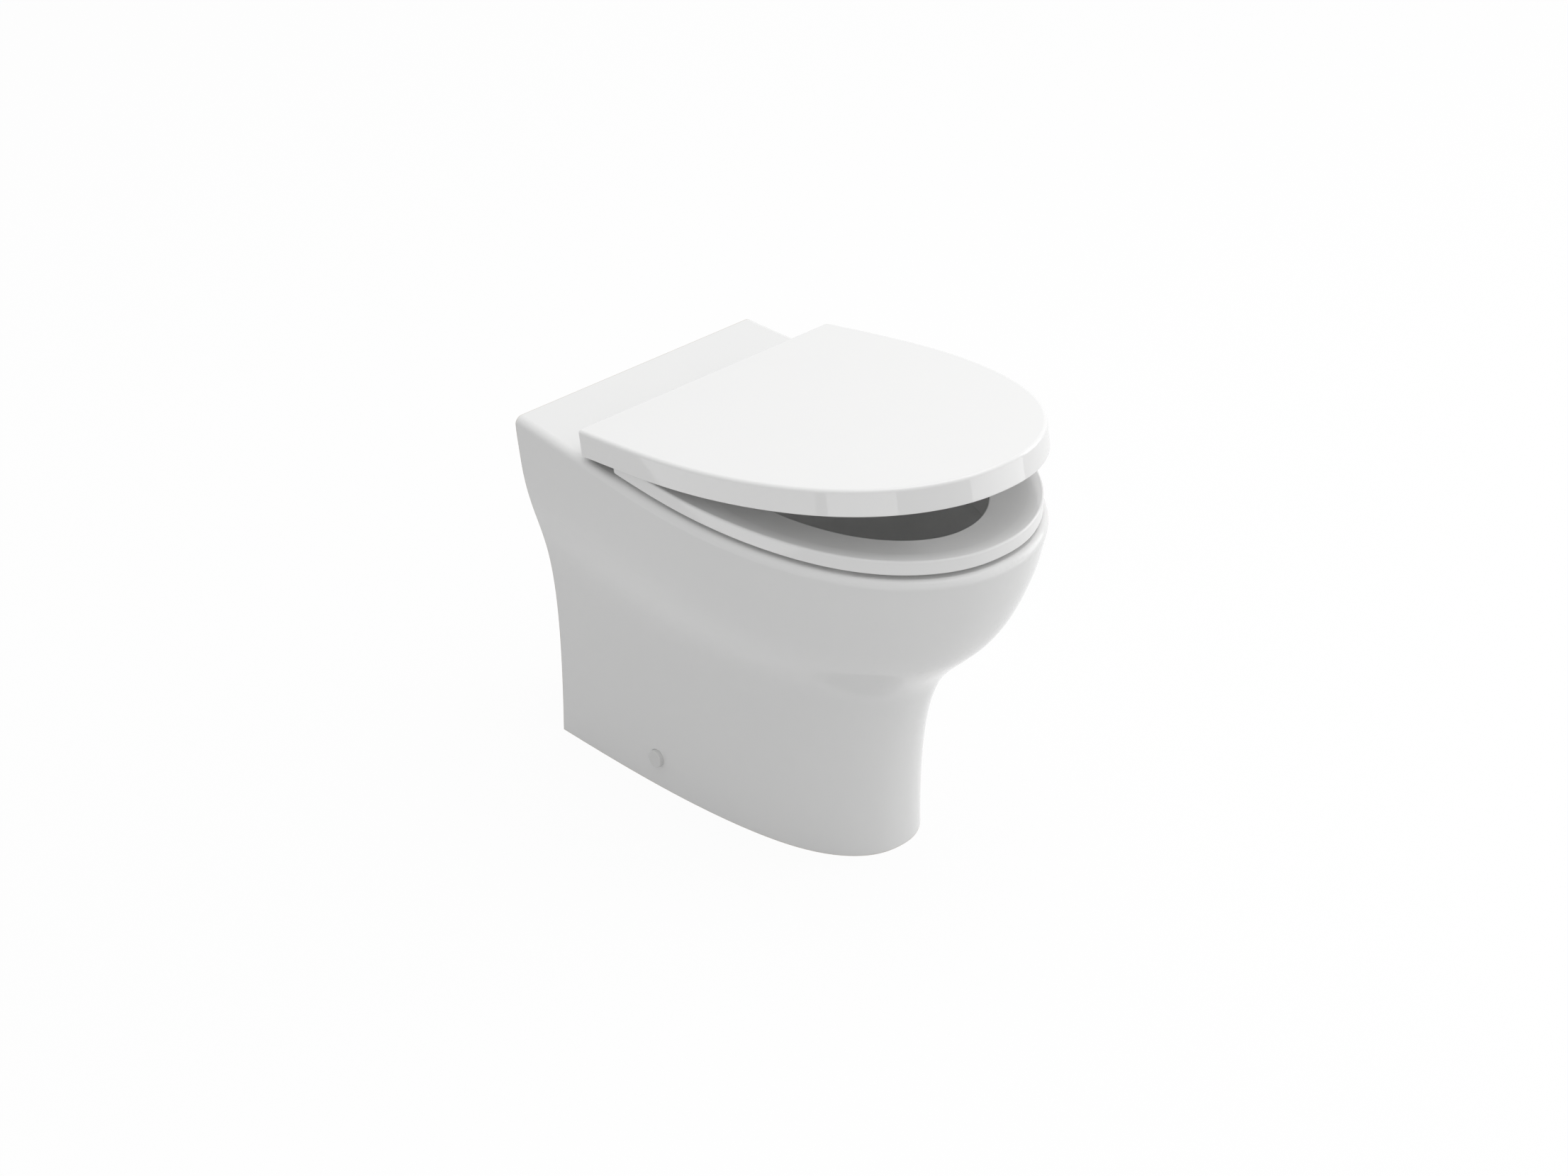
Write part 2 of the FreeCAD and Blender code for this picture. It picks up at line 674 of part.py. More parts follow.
def damper_rotor(side):
    start, end = knuckle_span(side, outboard=side > 0)
    inward = math.copysign(1, start - end)
    shaft = axis_rod(ROTOR_RADIUS, start, end + inward * (DAMPER_END + FIT))
    key = drive_end(ROTOR_RADIUS, ROTOR_FLAT, post_centre(side), start)
    return shaft.fuse(key).removeSplitter()


def knuckle_bore(side, outboard):
    start, end = knuckle_span(side, outboard)
    holds_damper = outboard == (side > 0)
    radius = DAMPER_RADIUS if holds_damper else PIN_RADIUS
    past = math.copysign(OPEN_END, end - start)
    return axis_rod(radius + FIT, start - past, end + past)


def hinge_gasket(side):
    ring = rod_z(FLANGE_RADIUS, post_centre(side), STUD_FROM_WALL,
                 DECK_HEIGHT, DECK_HEIGHT + GASKET_THICKNESS)
    return ring.cut(stud_hole(side))


def stud_hole(side):
    low = DECK_UNDER - WASHER_THICKNESS - NUT_HEIGHT - OPEN_END
    return rod_z(STUD_RADIUS + FIT, post_centre(side), STUD_FROM_WALL,
                 low, DECK_HEIGHT + OPEN_END)


def hinge_stud(side):
    low = DECK_UNDER - WASHER_THICKNESS - NUT_HEIGHT - STUD_TAIL
    high = DECK_HEIGHT + GASKET_THICKNESS + STUD_BORE_DEPTH - FIT
    return rod_z(STUD_RADIUS, post_centre(side), STUD_FROM_WALL, low, high)


def hinge_washer(side):
    ring = rod_z(WASHER_RADIUS, post_centre(side), STUD_FROM_WALL,
                 DECK_UNDER - WASHER_THICKNESS, DECK_UNDER)
    return ring.cut(stud_hole(side))


def hinge_nut(side):
    high = DECK_UNDER - WASHER_THICKNESS
    middle = post_centre(side)
    hub = rod_z(NUT_RADIUS, middle, STUD_FROM_WALL, high - NUT_HEIGHT, high)
    wings = block(middle - WING_LENGTH, middle + WING_LENGTH,
                  STUD_FROM_WALL - WING_THICKNESS / 2, STUD_FROM_WALL + WING_THICKNESS / 2,
                  high - NUT_HEIGHT, high)
    return hub.fuse(wings).cut(stud_hole(side)).removeSplitter()


# Seat

def buffer_places(inset, front, rear):
    places = []
    for from_wall in (front, rear):
        half = plan_half_width(rim_poles(inset, inset), from_wall)
        places += [(side * half, from_wall) for side, _ in SIDES]
    return places


def buffer(x, from_wall, low, high, stem_top):
    pad = rod_z(BUFFER_RADIUS, x, from_wall, low, high)
    rim = edges_where(pad, lambda b: b.ZMax < low + FIT and b.XLength > BUFFER_RADIUS)
    pad = pad.makeFillet(BUFFER_EDGE_RADIUS, rim)
    return pad.fuse(rod_z(BUFFER_STEM_RADIUS, x, from_wall, high, stem_top)).removeSplitter()


def stem_hole(x, from_wall, low, high):
    return rod_z(BUFFER_STEM_RADIUS + FIT, x, from_wall, low - LAP, high + FIT)


def seat_places():
    return buffer_places(BUFFER_INSET, BUFFER_FRONT, BUFFER_FROM_WALL)


def seat_buffers():
    low = DECK_HEIGHT + BUFFER_GAP
    return Part.makeCompound([
        buffer(x, d, low, SEAT_UNDER, SEAT_UNDER + BUFFER_STEM) for x, d in seat_places()
    ])


def seat_dish_width():
    outside = plan_edge(rim_poles(SEAT_SIDE, SEAT_FRONT), SEAT_TOP)
    band = outside.distToShape(opening_egg(SEAT_TOP, 0.0))[0]
    return min(band, OPENING_BACK - SEAT_REAR_FROM_WALL) - SEAT_FLAT


def seat_blank():
    dish_width = seat_dish_width()
    half_slope = math.atan2(SEAT_DISH_DEPTH, dish_width) / 2
    crown = min(SEAT_CROWN_RADIUS, (SEAT_FLAT - SEAT_EDGE_RADIUS - LAP) / math.tan(half_slope))
    ring = plan_slab(rim_poles(SEAT_SIDE, SEAT_FRONT), SEAT_REAR_FROM_WALL,
                     SEAT_UNDER, SEAT_TOP)
    rear = WALL_Y - SEAT_REAR_FROM_WALL - LAP
    corners = edges_where(ring, lambda b: b.ZLength > LAP and b.YMin > rear)
    ring = ring.makeFillet(SEAT_CORNER_RADIUS, corners)
    top_edges = edges_where(ring, lambda b: b.ZMin > SEAT_TOP - LAP)
    ring = ring.makeFillet(SEAT_EDGE_RADIUS, top_edges)
    low_edges = edges_where(ring, lambda b: b.ZMax < SEAT_UNDER + LAP)
    ring = ring.makeFillet(SEAT_LOWER_RADIUS, low_edges)
    dish = Part.makeLoft([
        opening_egg(SEAT_TOP - SEAT_DISH_DEPTH, 0.0),
        opening_egg(SEAT_TOP, dish_width),
    ], True, True)
    ring = ring.cut(dish).cut(
        opening_prism(0.0, SEAT_UNDER - OPEN_END, SEAT_TOP + OPEN_END))
    for height, radius, grow in (
        (SEAT_TOP - SEAT_DISH_DEPTH, SEAT_LIP_RADIUS, 0.0),
        (SEAT_TOP, crown, dish_width),
    ):
        reach = OPENING_LENGTH + 2 * grow
        level = edges_where(ring, lambda b: abs(b.ZMin - height) + b.ZLength < FIT)
        edge = min(level, key=lambda e: abs(e.BoundBox.YLength - reach))
        ring = ring.makeFillet(radius, [edge])
    return ring


def seat_ring():
    arms = []
    holes = [stem_hole(x, d, SEAT_UNDER, SEAT_UNDER + BUFFER_STEM) for x, d in seat_places()]
    for side, _ in SIDES:
        start, end = knuckle_span(side, outboard=False)
        arms.append(axis_rod(KNUCKLE_RADIUS, start, end))
        arms.append(block(start, end, HINGE_FROM_WALL, SEAT_REAR_FROM_WALL + SEAT_EDGE_RADIUS,
                          HINGE_Z - KNUCKLE_RADIUS, SEAT_TOP - LAP))
        holes.append(knuckle_bore(side, outboard=False))
        holes.append(post_notch(side, SEAT_UNDER - OPEN_END, HINGE_Z + OPEN_END))
    return carve(seat_blank().fuse(arms), holes)


def post_notch(side, z0, z1):
    inner, outer = post_faces(side)
    return block(inner - side * SIDE_GAP, outer + side * NOTCH_GAP,
                 0, POST_FRONT_FROM_WALL + NOTCH_GAP, z0, z1)


# Lid, modelled shut and then swung to where it stands

def lid_places():
    return buffer_places(LID_BUFFER_INSET, BUFFER_FRONT, BUFFER_FROM_WALL)


def lid_buffers():
    low = SEAT_TOP + BUFFER_GAP
    pads = [buffer(x, d, low, LID_UNDER, LID_UNDER + BUFFER_STEM) for x, d in lid_places()]
    return about_hinge(Part.makeCompound(pads), LID_AJAR)


def lid_blank(low):
    shell = plan_slab(rim_poles(), LID_REAR_FROM_WALL, low, LID_TOP_Z)
    rear = WALL_Y - LID_REAR_FROM_WALL - LAP
    corners = edges_where(shell, lambda b: b.ZLength > LAP and b.YMin > rear)
    shell = shell.makeFillet(LID_CORNER_RADIUS, corners)
    top_edges = edges_where(shell, lambda b: b.ZMin > LID_TOP_Z - LAP)
    shell = shell.makeFillet(LID_EDGE_RADIUS, top_edges)
    hollow = plan_slab(rim_poles(LID_WALL, LID_WALL), LID_REAR_FROM_WALL + LID_WALL,
                       low - LAP, LID_UNDER)
    shell = shell.cut(hollow)
    low_edges = edges_where(shell, lambda b: b.ZMax < low + LAP)
    shell = shell.makeFillet(LID_LOWER_RADIUS, low_edges)
    heel = block(-RIM_WIDTH, RIM_WIDTH, LID_REAR_FROM_WALL - LAP,
                 LID_REAR_FROM_WALL + LID_HEEL_RADIUS, low - LAP, low + LID_HEEL_RADIUS)
    heel = heel.cut(rod_x(LID_HEEL_RADIUS, -RIM_WIDTH, RIM_WIDTH,
                          LID_REAR_FROM_WALL + LID_HEEL_RADIUS, low + LID_HEEL_RADIUS))
    return shell.cut(heel)


def lid():
    low = LID_TOP_Z - LID_DEPTH
    blocks = []
    holes = [stem_hole(x, d, LID_UNDER, LID_UNDER + BUFFER_STEM) for x, d in lid_places()]
    for side, _ in SIDES:
        start, end = knuckle_span(side, outboard=True)
        blocks.append(axis_rod(KNUCKLE_RADIUS, start, end))
        blocks.append(block(start, end, HINGE_FROM_WALL - KNUCKLE_WEB / 2,
                            HINGE_FROM_WALL + KNUCKLE_WEB / 2, HINGE_Z, LID_UNDER + LAP))
        holes.append(knuckle_bore(side, outboard=True))
        inner, outer = post_faces(side)
        holes.append(block(inner - side * NOTCH_GAP, outer + side * SIDE_GAP,
                           0, HINGE_FROM_WALL, low - OPEN_END, LID_UNDER))
    return about_hinge(carve(lid_blank(low).fuse(blocks), holes), LID_AJAR)


def both(maker):
    return Part.makeCompound([maker(side) for side, _ in SIDES])


def main():
    os.makedirs("parts", exist_ok=True)
    save("pan_skirt", pan_skirt())
    save("pan_back", pan_back())
    save("pan_bowl", pan_bowl())
    save("pan_trap", pan_trap())
    save("pan_inlet", pan_inlet())
    save("seat_ring", seat_ring())
    save("seat_buffers", seat_buffers())
    save("lid", lid())
    save("lid_buffers", lid_buffers())
    for side, name in SIDES:
        save("pan_side_" + name, pan_side(side))
        save("hinge_post_" + name, hinge_post(side))
        save("hinge_pin_" + name, hinge_pin(side))
        save("fixing_cap_" + name, fixing_cap(side))
        save("floor_bracket_" + name, floor_bracket(side))
    save("seat_damper_body", damper_body(-1))
    save("seat_damper_rotor", damper_rotor(-1))
    save("lid_damper_body", about_hinge(damper_body(1), LID_AJAR))
    save("lid_damper_rotor", damper_rotor(1))
    save("hinge_gaskets", both(hinge_gasket))
    save("hinge_studs", both(hinge_stud))
    save("hinge_washers", both(hinge_washer))
    save("hinge_nuts", both(hinge_nut))
    save("fixing_screws", both(fixing_screw))
    save("fixing_sleeves", both(fixing_sleeve))


main()
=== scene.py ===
import bmesh
import bpy
import math
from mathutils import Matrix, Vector


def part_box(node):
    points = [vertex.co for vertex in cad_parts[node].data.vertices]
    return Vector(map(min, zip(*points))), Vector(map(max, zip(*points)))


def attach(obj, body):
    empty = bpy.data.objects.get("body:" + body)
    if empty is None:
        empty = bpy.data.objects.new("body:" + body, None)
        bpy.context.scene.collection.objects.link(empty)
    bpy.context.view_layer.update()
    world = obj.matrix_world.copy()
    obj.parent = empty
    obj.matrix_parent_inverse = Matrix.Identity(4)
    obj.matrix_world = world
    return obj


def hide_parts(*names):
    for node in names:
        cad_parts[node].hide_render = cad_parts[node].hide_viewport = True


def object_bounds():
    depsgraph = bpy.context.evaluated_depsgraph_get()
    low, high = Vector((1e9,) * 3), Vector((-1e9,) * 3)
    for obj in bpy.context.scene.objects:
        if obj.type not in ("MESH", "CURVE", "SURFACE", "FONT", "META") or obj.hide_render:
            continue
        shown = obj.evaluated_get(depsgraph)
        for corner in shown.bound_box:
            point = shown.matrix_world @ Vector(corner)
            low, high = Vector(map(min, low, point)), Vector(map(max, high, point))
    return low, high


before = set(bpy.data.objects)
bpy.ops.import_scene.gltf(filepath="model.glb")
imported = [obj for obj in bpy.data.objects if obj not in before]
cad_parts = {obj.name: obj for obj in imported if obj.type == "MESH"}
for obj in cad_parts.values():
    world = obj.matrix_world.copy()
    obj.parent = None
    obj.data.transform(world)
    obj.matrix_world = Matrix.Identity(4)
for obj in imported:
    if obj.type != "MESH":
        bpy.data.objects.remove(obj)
cadLow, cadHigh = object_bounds()
print("frame loaded:", len(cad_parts), "nodes")


# small helpers for modelling and for node trees

smoothBelow = 35              # degrees, flatter edges than this are shaded smooth
softenOver = 30               # degrees, sharper edges than this are rounded
squareOn = 0.9                # a picked face's normal along its axis is over this
noiseSpan = (0.3, 0.7)        # most of a noise's values lie between these


def pickOnly(*objects):
    bpy.ops.object.select_all(action="DESELECT")
    for thing in objects:
        thing.select_set(True)
    bpy.context.view_layer.objects.active = objects[-1]


def startPiece():
    bpy.ops.object.select_all(action="DESELECT")


def pickFaces(piece, test):                      # in edit mode
    bpy.ops.mesh.select_all(action="DESELECT")
    shape = bmesh.from_edit_mesh(piece.data)
    for face in shape.faces:
        face.select_set(test(face))
    bmesh.update_edit_mesh(piece.data)


def softenEdges(piece, width, steps):
    bevel = piece.modifiers.new("softEdges", "BEVEL")
    bevel.width = width
    bevel.segments = steps
    bevel.limit_method = "ANGLE"
    bevel.angle_limit = math.radians(softenOver)
    bpy.ops.object.modifier_apply(modifier=bevel.name)


def joinInto(name, pieces):
    pickOnly(*pieces)
    bpy.ops.object.join()
    whole = bpy.context.object
    whole.name = name
    bpy.ops.object.transform_apply(location=True, rotation=True, scale=True)
    bpy.ops.object.shade_smooth_by_angle(angle=math.radians(smoothBelow))
    return whole


def copyAcross(piece, shift):
    pickOnly(piece)
    bpy.ops.object.duplicate(linked=False)
    twin = bpy.context.object
    twin.location.x += shift
    return twin


def startFinish(name):
    finish = bpy.data.materials.new(name)
    finish.use_nodes = True
    tree = finish.node_tree
    shader = tree.nodes["Principled BSDF"]
    where = tree.nodes.new("ShaderNodeTexCoord").outputs["Object"]
    return finish, tree, shader, where


def addNoise(tree, where, size, detail=2.0, stretch=(1, 1, 1)):
    place = tree.nodes.new("ShaderNodeMapping")
    place.inputs["Scale"].default_value = [s / size for s in stretch]
    noise = tree.nodes.new("ShaderNodeTexNoise")
    noise.inputs["Scale"].default_value = 1.0
    noise.inputs["Detail"].default_value = detail
    tree.links.new(where, place.inputs["Vector"])
    tree.links.new(place.outputs["Vector"], noise.inputs["Vector"])
    return noise.outputs["Fac"]


def mapRange(tree, value, fromLow, fromHigh, toLow, toHigh, smooth=False):
    node = tree.nodes.new("ShaderNodeMapRange")
    node.interpolation_type = "SMOOTHSTEP" if smooth else "LINEAR"
    for socket, number in zip(("From Min", "From Max", "To Min", "To Max"),
                              (fromLow, fromHigh, toLow, toHigh)):
        node.inputs[socket].default_value = number
    tree.links.new(value, node.inputs["Value"])
    return node.outputs["Result"]


def calc(tree, operation, first, second=None):
    node = tree.nodes.new("ShaderNodeMath")
    node.operation = operation
    for socket, value in zip(node.inputs, (first, second)):
        if value is None:
            continue
        if isinstance(value, (int, float)):
            socket.default_value = value
        else:
            tree.links.new(value, socket)
    return node.outputs["Value"]


def mixColour(tree, factor, first, second):
    node = tree.nodes.new("ShaderNodeMix")
    node.data_type = "RGBA"
    tree.links.new(factor, node.inputs["Factor"])
    for socket, value in zip(node.inputs[6:8], (first, second)):      # the two colour sockets
        if isinstance(value, tuple):
            socket.default_value = value
        else:
            tree.links.new(value, socket)
    return node.outputs[2]


def addBump(tree, shader, height, depth, below=None):
    node = tree.nodes.new("ShaderNodeBump")
    node.inputs["Distance"].default_value = depth
    tree.links.new(height, node.inputs["Height"])
    if below is not None:
        tree.links.new(below, node.inputs["Normal"])
    tree.links.new(node.outputs["Normal"], shader.inputs["Normal"])
    return node.outputs["Normal"]


# fired china: white glaze, and bare clay where the pan meets floor and wall and in the bay behind

china = {
    "glaze": (0.855, 0.855, 0.85, 1),
    "glazeDeep": (0.835, 0.837, 0.835, 1),
    "clay": (0.70, 0.665, 0.60, 1),
    "clayDark": (0.62, 0.585, 0.52, 1),
    "glazeRough": (0.08, 0.12),
    "clayRough": 0.62,
    "ior": 1.52,
    "shine": 0.22,
    "cloud": 0.11,            # m, patches of the deeper glaze
    "ripple": 0.045,          # the glaze's slow waves
    "rippleDepth": 0.00006,
    "clayGrain": 0.0016,
    "clayDepth": 0.0002,
    "footHalf": 0.1035,       # middle of the skirt's wall at the foot, by the back
    "deckHalf": 0.038,        # how much further out it is at the bay's top
    "flare": 3.2,             # how late it turns out
    "wallBlend": 0.0005,      # the glaze ends this near the middle of the wall
    "bayTop": 0.285,
    "topBlend": 0.002,
    "bayFront": (0.10, 0.17),  # where the glaze gives out, front to back
    "ragged": 0.03,           # how far that edge wanders
    "bareEdge": (0.0002, 0.0009),  # from bare floor and wall faces to glaze
}


def glazedChina():
    finish, tree, shader, where = startFinish("glazedChina")
    split = tree.nodes.new("ShaderNodeSeparateXYZ")
    tree.links.new(where, split.inputs["Vector"])
    x, y, z = (split.outputs[axis] for axis in "XYZ")
    slow = addNoise(tree, where, china["ripple"])
    cloud = addNoise(tree, where, china["cloud"], detail=3.0)
    grain = addNoise(tree, where, china["clayGrain"], detail=4.0)
    flare = calc(tree, "POWER", calc(tree, "MAXIMUM", z, 0.0), china["flare"])
    scale = china["deckHalf"] / china["bayTop"] ** china["flare"]
    half = calc(tree, "ADD", calc(tree, "MULTIPLY", flare, scale), china["footHalf"])
    inside = calc(tree, "SUBTRACT", half, calc(tree, "ABSOLUTE", x))
    inside = mapRange(tree, inside, -china["wallBlend"], china["wallBlend"], 0, 1)
    ragged = calc(tree, "ADD", y, mapRange(tree, cloud, *noiseSpan, -china["ragged"], china["ragged"]))
    back = mapRange(tree, ragged, *china["bayFront"], 0, 1, smooth=True)
    lowEnough = mapRange(tree, z, china["bayTop"], china["bayTop"] + china["topBlend"], 1, 0)
    bay = calc(tree, "MULTIPLY", calc(tree, "MULTIPLY", inside, back), lowEnough)
    foot = mapRange(tree, z, *china["bareEdge"], 1, 0)
    heel = mapRange(tree, calc(tree, "SUBTRACT", cadHigh.y, y), *china["bareEdge"], 1, 0)
    bare = calc(tree, "MAXIMUM", bay, calc(tree, "MAXIMUM", foot, heel))
    glaze = mixColour(tree, cloud, china["glaze"], china["glazeDeep"])
    clay = mixColour(tree, grain, china["clay"], china["clayDark"])
    tree.links.new(mixColour(tree, bare, glaze, clay), shader.inputs["Base Color"])
    rough = mapRange(tree, slow, *noiseSpan, *china["glazeRough"])
    gap = calc(tree, "SUBTRACT", china["clayRough"], rough)
    rough = calc(tree, "ADD", rough, calc(tree, "MULTIPLY", gap, bare))
    tree.links.new(rough, shader.inputs["Roughness"])
    ripples = addBump(tree, shader, slow, china["rippleDepth"])
    addBump(tree, shader, calc(tree, "MULTIPLY", grain, bare), china["clayDepth"], ripples)
    shader.inputs["IOR"].default_value = china["ior"]
    shader.inputs["Specular IOR Level"].default_value = china["shine"]
    return finish


# moulded finishes: each has its colour, a second tone in patches, gloss, and a grain of its own size

mouldedPatch = 0.06           # m

moulded = {
    "seatWhite": {"colour": (0.885, 0.885, 0.88, 1), "tone": (0.872, 0.872, 0.869, 1),
                  "rough": (0.025, 0.045), "grain": 0.05, "depth": 0.00001},
    "hingeWhite": {"colour": (0.80, 0.80, 0.795, 1), "tone": (0.77, 0.77, 0.765, 1),
                   "rough": (0.26, 0.34), "grain": 0.0012, "depth": 0.00002},
    # the cap's white is set well below the pan's glaze: painted shade, standing in for the shade seen on
    # the cap's face
    "capWhitePaintedShade": {"colour": (0.73, 0.73, 0.725, 1), "tone": (0.71, 0.71, 0.705, 1),
                 "rough": (0.10, 0.15), "grain": 0.004, "depth": 0.00001},
    "bufferRubber": {"colour": (0.70, 0.70, 0.69, 1), "tone": (0.64, 0.64, 0.63, 1),
                     "rough": (0.48, 0.60), "grain": 0.0015, "depth": 0.00004},
    "gasketRubber": {"colour": (0.075, 0.075, 0.078, 1), "tone": (0.055, 0.055, 0.057, 1),
                     "rough": (0.62, 0.75), "grain": 0.0012, "depth": 0.00005},
    "damperGrey": {"colour": (0.27, 0.28, 0.29, 1), "tone": (0.23, 0.24, 0.25, 1),
                   "rough": (0.36, 0.46), "grain": 0.0014, "depth": 0.00003},
    "naturalNylon": {"colour": (0.66, 0.65, 0.60, 1), "tone": (0.60, 0.59, 0.54, 1),
                     "rough": (0.40, 0.52), "grain": 0.0016, "depth": 0.00005},
}


def mouldedFinish(name):
    style = moulded[name]
    finish, tree, shader, where = startFinish(name)
    grain = addNoise(tree, where, style["grain"], detail=3.0)
    cloud = addNoise(tree, where, mouldedPatch)
    tree.links.new(mixColour(tree, cloud, style["colour"], style["tone"]), shader.inputs["Base Color"])
    tree.links.new(mapRange(tree, cloud, *noiseSpan, *style["rough"]), shader.inputs["Roughness"])
    addBump(tree, shader, grain, style["depth"])
    return finish


# bright steel with fine lines drawn along its length

steel = {"colour": (0.60, 0.60, 0.61, 1), "tone": (0.50, 0.50, 0.51, 1), "rough": (0.20, 0.34),
         "lines": 0.002, "drawn": (1, 1, 0.08), "depth": 0.00001}


def brightSteel():
    finish, tree, shader, where = startFinish("brightSteel")
    lines = addNoise(tree, where, steel["lines"], detail=3.0, stretch=steel["drawn"])
    tree.links.new(mixColour(tree, lines, steel["colour"], steel["tone"]), shader.inputs["Base Color"])
    tree.links.new(mapRange(tree, lines, *noiseSpan, *steel["rough"]), shader.inputs["Roughness"])
    addBump(tree, shader, lines, steel["depth"])
    shader.inputs["Metallic"].default_value = 1.0
    return finish


finishes = {name: mouldedFinish(name) for name in moulded}
finishes["glazedChina"] = glazedChina()
finishes["brightSteel"] = brightSteel()
print("finishes made:", len(finishes))

nodeFinish = {
    "pan_skirt": "glazedChina", "pan_side_left": "glazedChina", "pan_side_right": "glazedChina",
    "pan_back": "glazedChina", "pan_bowl": "glazedChina", "pan_trap": "glazedChina",
    "pan_inlet": "glazedChina", "seat_ring": "seatWhite", "lid": "seatWhite",
    "seat_buffers": "bufferRubber", "lid_buffers": "bufferRubber",
    "hinge_post_left": "hingeWhite", "hinge_post_right": "hingeWhite",
    "hinge_pin_left": "brightSteel", "hinge_pin_right": "brightSteel",
    "fixing_cap_left": "capWhitePaintedShade", "fixing_cap_right": "capWhitePaintedShade",
    "floor_bracket_left": "naturalNylon", "floor_bracket_right": "naturalNylon",
    "seat_damper_body": "damperGrey", "lid_damper_body": "damperGrey",
    "seat_damper_rotor": "damperGrey", "lid_damper_rotor": "damperGrey",
    "hinge_gaskets": "gasketRubber", "hinge_studs": "brightSteel",
    "hinge_washers": "naturalNylon", "hinge_nuts": "naturalNylon",
    "fixing_screws": "brightSteel", "fixing_sleeves": "naturalNylon",
}


def dress(piece, finishName):
    piece.data.materials.clear()
    piece.data.materials.append(finishes[finishName])


for nodeName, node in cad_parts.items():
    dress(node, nodeFinish[nodeName])
print("nodes finished:", len(nodeFinish))


# threaded studs, in place of the plain rods that hold the hinge posts down

studThread = {
    "sides": 32,
    "radius": 0.004,          # m, at the thread's crest
    "depth": 0.0006,
    "lap": 0.0001,            # thread let into the core
    "pitch": 0.00125,
    "ridge": 0.00115,         # width of the thread at its root
    "chamfer": 0.0008,
    "threadTop": 0.3985,      # it ends inside the deck's hole
    "plainTurns": 2,          # pitches without thread, at the two ends together
}


def studCore(low, high):
    startPiece()
    root = studThread["radius"] - studThread["depth"]
    bpy.ops.mesh.primitive_cylinder_add(vertices=studThread["sides"], radius=root, depth=high - low,
                                        location=(0, 0, (low + high) / 2))
    core = bpy.context.object
    bpy.ops.object.transform_apply(location=True)
    softenEdges(core, studThread["chamfer"], steps=1)
    return core


def studRidge(low):
    startPiece()
    deep = studThread["depth"] + studThread["lap"]
    unit = 0.001                                 # radius of the three-sided section it starts from
    bpy.ops.mesh.primitive_circle_add(vertices=3, radius=unit, rotation=(math.pi / 2, math.pi / 2, 0))
    ridge = bpy.context.object
    bpy.ops.object.transform_apply(rotation=True)
    bpy.ops.object.mode_set(mode="EDIT")
    sectionDeep, sectionWide = unit * 3 / 2, unit * math.sqrt(3)
    across, along = deep / sectionDeep, studThread["ridge"] / sectionWide
    bpy.ops.transform.resize(value=(across, 1, along), center_override=(0, 0, 0))
    bpy.ops.transform.translate(value=(studThread["radius"] - unit * across, 0, low + studThread["pitch"]))
    bpy.ops.object.mode_set(mode="OBJECT")
    turn = ridge.modifiers.new("turns", "SCREW")
    turn.axis = "Z"
    turn.screw_offset = studThread["pitch"]
    turn.iterations = int((studThread["threadTop"] - low) / studThread["pitch"]) - studThread["plainTurns"]
    turn.steps = turn.render_steps = studThread["sides"]
    bpy.ops.object.modifier_apply(modifier=turn.name)
    bpy.ops.object.mode_set(mode="EDIT")
    bpy.ops.mesh.select_all(action="SELECT")
    bpy.ops.mesh.fill_holes(sides=3)
    bpy.ops.mesh.select_all(action="SELECT")
    bpy.ops.mesh.normals_make_consistent(inside=False)
    bpy.ops.object.mode_set(mode="OBJECT")
    return ridge


def hingeStuds():
    low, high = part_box("hinge_studs")
    stud = joinInto("hingeStuds", [studRidge(low.z), studCore(low.z, high.z)])
    reach = high.x - studThread["radius"]
    stud.location = (-reach, (low.y + high.y) / 2, 0)
    pair = joinInto("hingeStuds", [copyAcross(stud, 2 * reach), stud])
    dress(pair, "brightSteel")
    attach(pair, "pan")
    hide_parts("hinge_studs")


# wing nuts that hold those studs from below

wingNut = {
    "sides": 48,
    "flange": 0.011,          # m, radius against the washer
    "flangeHeight": 0.003,
    "hub": 0.0085,
    "bore": 0.00405,
    "wingThick": 0.004,
    "wingTip": (0.62, 0.78),  # tip's share of the wing's thickness and height
    "edge": 0.0006,
    "wingEdge": 0.0012,
}


def nutHub(low, high):
    startPiece()
    bpy.ops.mesh.primitive_cylinder_add(
        vertices=wingNut["sides"], radius=wingNut["flange"], depth=wingNut["flangeHeight"],
        location=(0, 0, high - wingNut["flangeHeight"] / 2))
    hub = bpy.context.object
    bpy.ops.object.transform_apply(location=True)
    bpy.ops.object.mode_set(mode="EDIT")
    pickFaces(hub, lambda face: face.normal.z < -squareOn)
    bpy.ops.mesh.inset(thickness=wingNut["flange"] - wingNut["hub"])
    drop = high - low - wingNut["flangeHeight"]
    bpy.ops.mesh.extrude_region_move(TRANSFORM_OT_translate={"value": (0, 0, -drop)})
    bpy.ops.mesh.inset(thickness=wingNut["hub"] - wingNut["bore"])
    bpy.ops.mesh.delete(type="FACE")
    pickFaces(hub, lambda face: face.normal.z > squareOn)
    bpy.ops.mesh.inset(thickness=wingNut["flange"] - wingNut["bore"])
    bpy.ops.mesh.delete(type="FACE")
    bpy.ops.mesh.select_mode(type="EDGE")
    bpy.ops.mesh.select_all(action="DESELECT")
    bpy.ops.mesh.select_non_manifold()
    bpy.ops.mesh.bridge_edge_loops()
    bpy.ops.mesh.select_mode(type="FACE")
    bpy.ops.mesh.select_all(action="SELECT")
    bpy.ops.mesh.normals_make_consistent(inside=False)
    bpy.ops.object.mode_set(mode="OBJECT")
    softenEdges(hub, wingNut["edge"], steps=2)
    return hub


